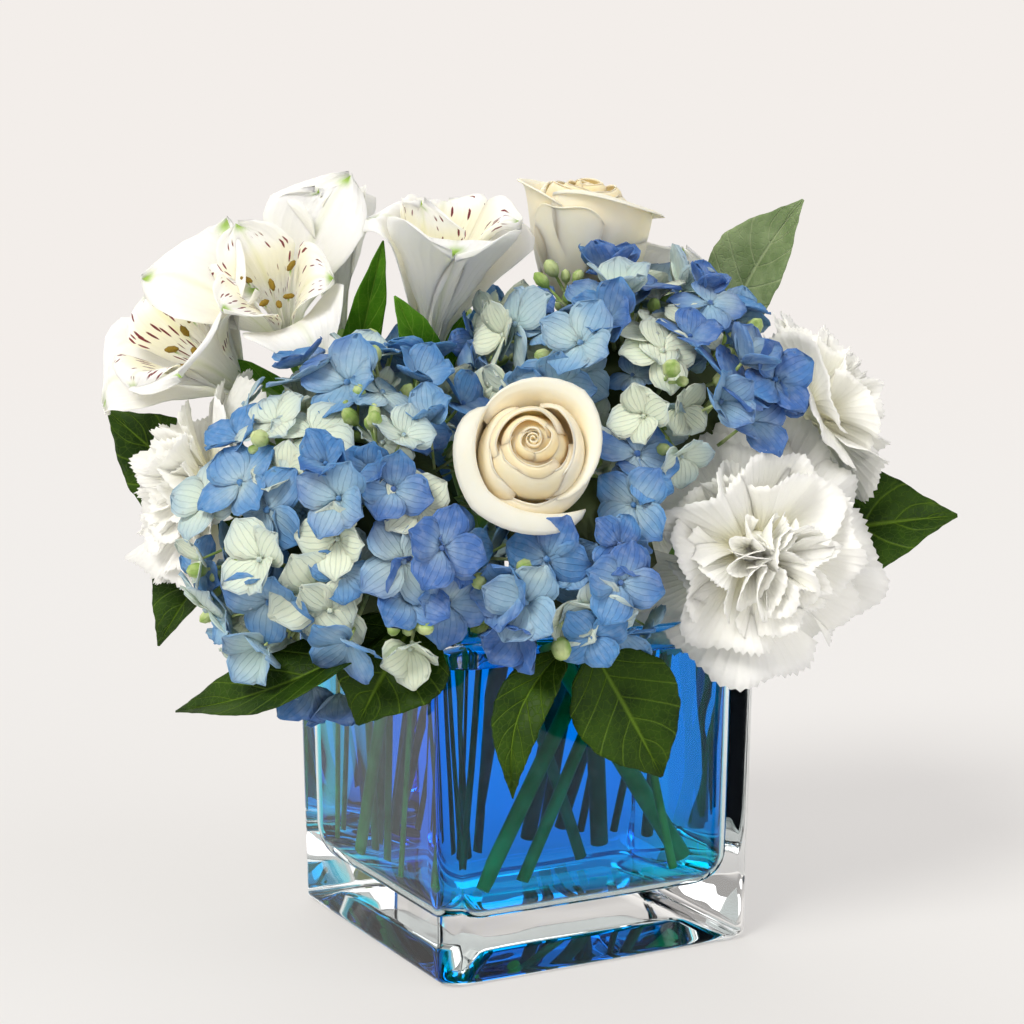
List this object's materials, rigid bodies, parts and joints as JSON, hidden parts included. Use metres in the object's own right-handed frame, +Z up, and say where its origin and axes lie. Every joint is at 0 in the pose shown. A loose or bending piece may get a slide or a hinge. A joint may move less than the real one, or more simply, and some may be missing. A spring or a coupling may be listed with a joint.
{
  "type": "hydrangeas in a vase",
  "caption": "Low dome of blue hydrangea heads with cream roses, white carnations, Peruvian lilies and green leaves, standing in blue water in a thick square glass vase.",
  "frame": {"origin": "middle of the vase's foot, on the surface that it stands on", "axes": "+Z up; -Y out of the vase's front face, the one with the rose and the hanging leaves over it; +X to the right of that face"},
  "size_m": [0.2437, 0.1974, 0.2468],
  "materials": {
    "glass": "polished, pressed",
    "water": "clear, blue",
    "hydrangea_sepal": "matt, velvety",
    "rose_petal": "soft satin",
    "carnation_petal": "matt, crisp",
    "lily_petal": "soft satin",
    "leaf": "waxy",
    "stem": "smooth, green"
  },
  "bodies": {
    "root": {"vase": "glass", "water": "water", "hydrangea_front_stem": "stem", "hydrangea_left_stem": "stem", "hydrangea_right_stem": "stem", "hydrangea_back_stem": "stem", "rose_front_stem": "stem", "rose_back_stem": "stem", "carnation_front_stem": "stem", "carnation_right_stem": "stem", "carnation_left_stem": "stem", "carnation_back_stem": "stem", "lily_stem_left": "stem", "lily_stem_middle": "stem", "lily_stem_back": "stem", "foliage_left_front": "leaf", "foliage_front": "leaf", "foliage_right": "leaf", "foliage_top_right": "leaf", "foliage_left": "leaf", "foliage_back": "leaf", "rose_front": "rose_petal", "rose_back": "rose_petal", "carnation_front": "carnation_petal", "carnation_right": "carnation_petal", "carnation_left": "carnation_petal", "carnation_back": "carnation_petal", "lily_facing": "lily_petal", "lily_upright": "lily_petal", "lily_outer": "lily_petal", "lily_middle": "lily_petal", "lily_behind": "lily_petal", "hydrangea_front": "hydrangea_sepal", "hydrangea_left": "hydrangea_sepal", "hydrangea_right": "hydrangea_sepal", "hydrangea_back": "hydrangea_sepal"}
  },
  "joints": []
}
